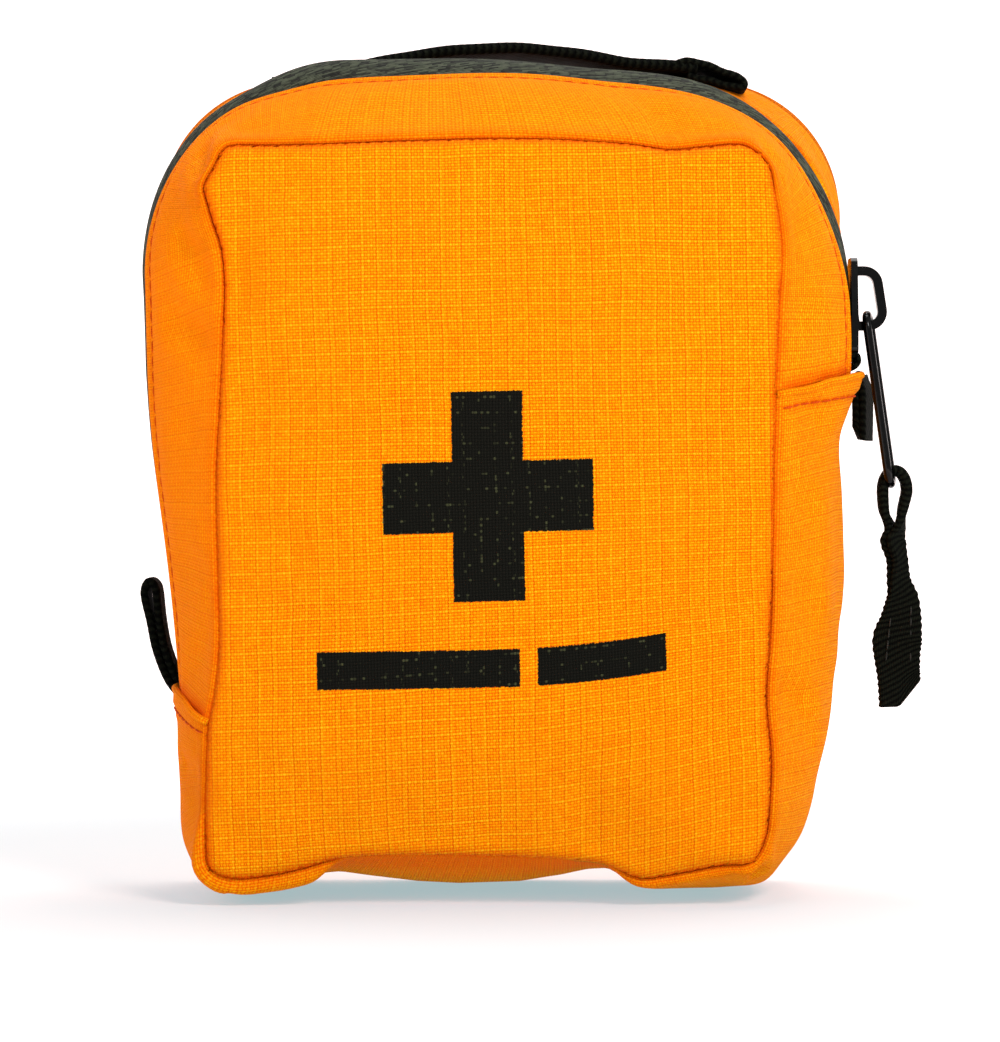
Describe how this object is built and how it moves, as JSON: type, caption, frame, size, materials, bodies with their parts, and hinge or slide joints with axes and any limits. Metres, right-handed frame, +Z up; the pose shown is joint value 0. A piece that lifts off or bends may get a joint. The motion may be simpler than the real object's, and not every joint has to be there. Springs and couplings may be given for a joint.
{
  "type": "first aid kit",
  "caption": "Zipped belt pouch in ribbed cloth with a printed cross, carry handle, wire zip puller, belt loop and first aid contents.",
  "frame": {"origin": "on the ground under the middle of the pouch, in the plane of the zip line", "axes": "+X to the right of the front, front faces -Y, +Z up"},
  "size_m": [0.1533, 0.0617, 0.1688],
  "materials": {
    "ripstop_orange": "woven ripstop nylon with a grid of raised ribs",
    "ink_black": "matt screen print on cloth",
    "zip_tape": "woven polyester tape",
    "zip_coil": "moulded coil",
    "webbing_black": "ribbed woven webbing",
    "slider_black": "black lacquered zinc",
    "wire_black": "black coated steel wire",
    "lining_grey": "plain woven lining",
    "foam_white": "closed cell foam",
    "mesh_black": "knitted mesh",
    "elastic_black": "ribbed elastic",
    "foil_silver": "crinkled foil in a clear sleeve",
    "gauze_white": "open woven gauze",
    "crepe_cream": "crinkled crepe",
    "wrap_white": "paper and film packet",
    "wrap_green": "paper and film packet",
    "wrap_blue": "glossy film packet",
    "plaster_tan": "fabric plaster in paper",
    "paper_white": "folded paper",
    "tape_white": "zinc oxide cloth tape",
    "core_white": "moulded ring",
    "steel": "satin stainless steel",
    "pin_chrome": "plated wire",
    "grip_blue": "moulded grips"
  },
  "bodies": {
    "pouch": {"back_panel": "ripstop_orange", "back_foam": "foam_white", "back_lining": "lining_grey", "back_gusset": "ripstop_orange", "lower_gusset": "ripstop_orange", "front_panel_lower": "ripstop_orange", "print_lower": "ink_black", "back_zip_tape": "zip_tape", "back_zip_coil": "zip_coil", "front_tape_end": "zip_tape", "front_coil_end": "zip_coil", "handle_anchors": "webbing_black", "belt_loop": "webbing_black", "tool_elastic": "elastic_black", "elastic_keepers": "elastic_black", "foil_blanket": "foil_silver", "triangular_bandage": "gauze_white", "gloves_packet": "wrap_blue", "large_bandage_roll": "crepe_cream", "small_bandage_roll": "gauze_white", "wound_dressing": "wrap_white", "eye_dressing": "wrap_green", "face_shield_packet": "wrap_blue", "tape_roll": "tape_white", "tape_core": "core_white", "plaster_strips": "plaster_tan", "safety_pins": "pin_chrome", "scissors_fixed_blade": "steel", "scissors_fixed_grip": "grip_blue", "scissors_rivet": "steel", "tweezers_fixed_leg": "steel"},
    "front_flap": {"front_panel": "ripstop_orange", "front_gusset": "ripstop_orange", "front_zip_tape": "zip_tape", "front_zip_coil": "zip_coil", "print_upper": "ink_black", "inner_pocket": "mesh_black", "cleansing_wipes": "wrap_white", "guidance_leaflet": "paper_white"},
    "zip_slider": {"slider_body": "slider_black", "slider_bail": "slider_black"},
    "zip_puller": {"puller_wire": "wire_black"},
    "pull_tab": {"pull_webbing": "webbing_black"},
    "right_tab": {"right_tab": "webbing_black"},
    "left_tab": {"left_tab": "webbing_black"},
    "handle_grip": {"handle_strap": "webbing_black"},
    "scissors_moving": {"scissors_moving_blade": "steel", "scissors_moving_grip": "grip_blue"},
    "tweezers_moving": {"tweezers_moving_leg": "steel"}
  },
  "joints": [
    {"name": "flap_fold", "type": "hinge", "parent": "pouch", "child": "front_flap", "pos_m": [-0.05224, -0.026, 0.031], "axis": [0.8566, 0, 0.5159], "range_deg": [0, 110]},
    {"name": "slider_travel", "type": "hinge", "parent": "pouch", "child": "zip_slider", "pos_m": [0.022, 0, 0.115], "axis": [0, -1, 0], "range_deg": [0, 90]},
    {"name": "puller_swing", "type": "hinge", "parent": "zip_slider", "child": "zip_puller", "pos_m": [0.07145, 0, 0.1126], "axis": [0, -1, 0], "range_deg": [0, 130]},
    {"name": "pull_tab_swing", "type": "hinge", "parent": "zip_puller", "child": "pull_tab", "pos_m": [0.07607, 0, 0.07972], "axis": [0, -1, 0], "range_deg": [-4, 55]},
    {"name": "right_tab_bend", "type": "hinge", "parent": "pouch", "child": "right_tab", "pos_m": [0.0695, 0.0096, 0.1006], "axis": [0, -1, 0], "range_deg": [0, 75]},
    {"name": "left_tab_bend", "type": "hinge", "parent": "pouch", "child": "left_tab", "pos_m": [-0.0643, 0.0096, 0.0405], "axis": [0, -1, 0], "range_deg": [0, 120], "stiffness_Nm_per_rad": 0.01},
    {"name": "handle_lift", "type": "slide", "parent": "pouch", "child": "handle_grip", "axis": [0, 0, 1], "range_m": [0, 0.012]},
    {"name": "scissors_open", "type": "hinge", "parent": "pouch", "child": "scissors_moving", "pos_m": [-0.028, 0.0202, 0.088], "axis": [0, 1, 0], "range_deg": [0, 35]},
    {"name": "tweezers_close", "type": "hinge", "parent": "pouch", "child": "tweezers_moving", "pos_m": [0.021, 0.0202, 0.138], "axis": [0, 1, 0], "range_deg": [0, 3.5], "stiffness_Nm_per_rad": 0.2}
  ]
}
